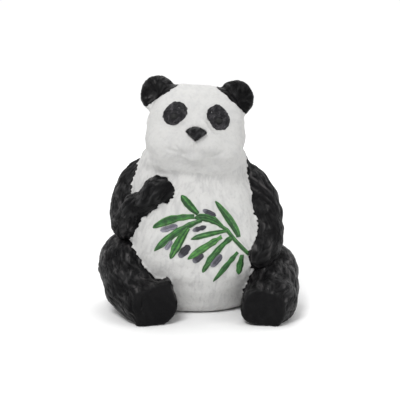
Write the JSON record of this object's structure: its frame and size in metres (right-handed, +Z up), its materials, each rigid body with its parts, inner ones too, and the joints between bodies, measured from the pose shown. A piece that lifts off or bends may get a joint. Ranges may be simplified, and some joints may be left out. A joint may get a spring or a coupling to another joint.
{
  "type": "seated panda figure",
  "caption": "Seated panda figure, hollow cast and hand painted, one paw raised to the chest and a bamboo sprig painted across the belly; a stopper closes the hole in its base.",
  "frame": {"origin": "the middle of the figure's outline seen from above, on the plane that it stands on", "axes": "+Z up, the face and the soles towards -Y, the panda's left side towards +X"},
  "size_m": [0.2634, 0.2079, 0.3067],
  "materials": {
    "white_body": "matte paint over cast plaster",
    "white_head": "matte paint over cast plaster",
    "black_fur": "satin black paint over cast plaster",
    "raw_plaster": "bare plaster",
    "nose_black": "satin black paint",
    "eye_patch_black": "satin black paint",
    "eye_gloss": "gloss black paint",
    "leaf_green": "streaked acrylic paint",
    "stem_green": "streaked acrylic paint",
    "dab_grey": "thin grey-violet acrylic paint",
    "dowel_wood": "bare wood",
    "stopper_rubber": "matte rubber"
  },
  "bodies": {
    "figure": {"torso_front": "white_body", "torso_back": "white_body", "torso_seam_band": "raw_plaster", "base_disc": "raw_plaster", "head_front": "white_head", "head_back": "white_head", "head_seam_band": "raw_plaster", "neck_dowels": "dowel_wood", "right_ear": "black_fur", "left_ear": "black_fur", "ear_pins": "dowel_wood", "right_arm": "black_fur", "left_arm": "black_fur", "arm_dowels": "dowel_wood", "right_leg": "black_fur", "left_leg": "black_fur", "leg_dowels": "dowel_wood", "nose": "nose_black", "right_eye_patch": "eye_patch_black", "left_eye_patch": "eye_patch_black", "right_eye": "eye_gloss", "left_eye": "eye_gloss", "bamboo_stem": "stem_green", "bamboo_leaves": "leaf_green", "brush_dabs": "dab_grey"},
    "stopper": {"base_plug": "stopper_rubber"}
  },
  "joints": [
    {"name": "stopper_pull", "type": "slide", "parent": "figure", "child": "stopper", "axis": [0, 0, -1], "range_m": [0, 0.022]}
  ]
}
